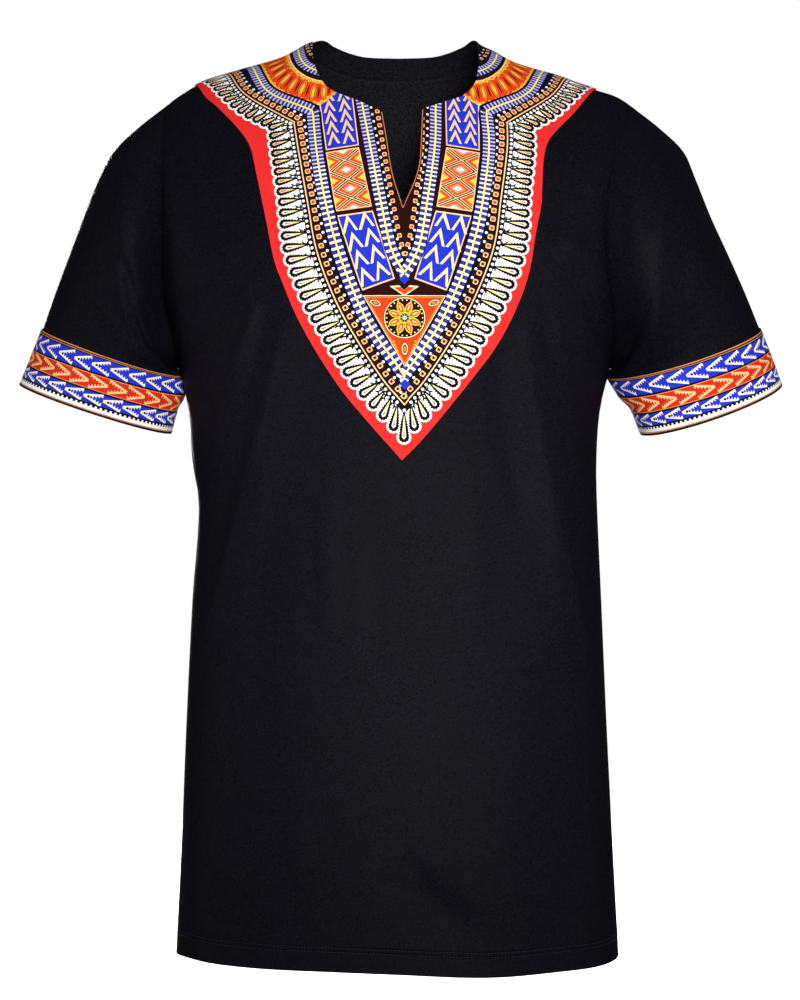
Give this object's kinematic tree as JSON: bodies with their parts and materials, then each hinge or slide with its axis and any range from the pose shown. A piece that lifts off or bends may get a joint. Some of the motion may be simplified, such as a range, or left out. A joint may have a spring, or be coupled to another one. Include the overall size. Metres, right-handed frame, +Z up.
{
  "type": "dashiki shirt",
  "caption": "Hollow, filled-out black jersey tunic with short sleeves, a round neck with a slit, a printed yoke running to a point and printed cuff bands.",
  "frame": {"origin": "middle of the neck opening, level with the points where the shoulder seams meet the neck", "axes": "-Y is the way the front faces, +Z is up, +X is towards the viewer's right as the front is seen"},
  "size_m": [0.7243, 0.2418, 0.8723],
  "materials": {
    "jersey": "matt black cotton jersey",
    "cotton_print": "printed plain-weave cotton, red, blue, orange, white and dark brown"
  },
  "bodies": {
    "root": {"front": "jersey", "back": "jersey", "sleeve_left": "jersey", "sleeve_right": "jersey", "neckband": "jersey", "yoke": "cotton_print", "cuff_left": "cotton_print", "cuff_right": "cotton_print"}
  },
  "joints": []
}
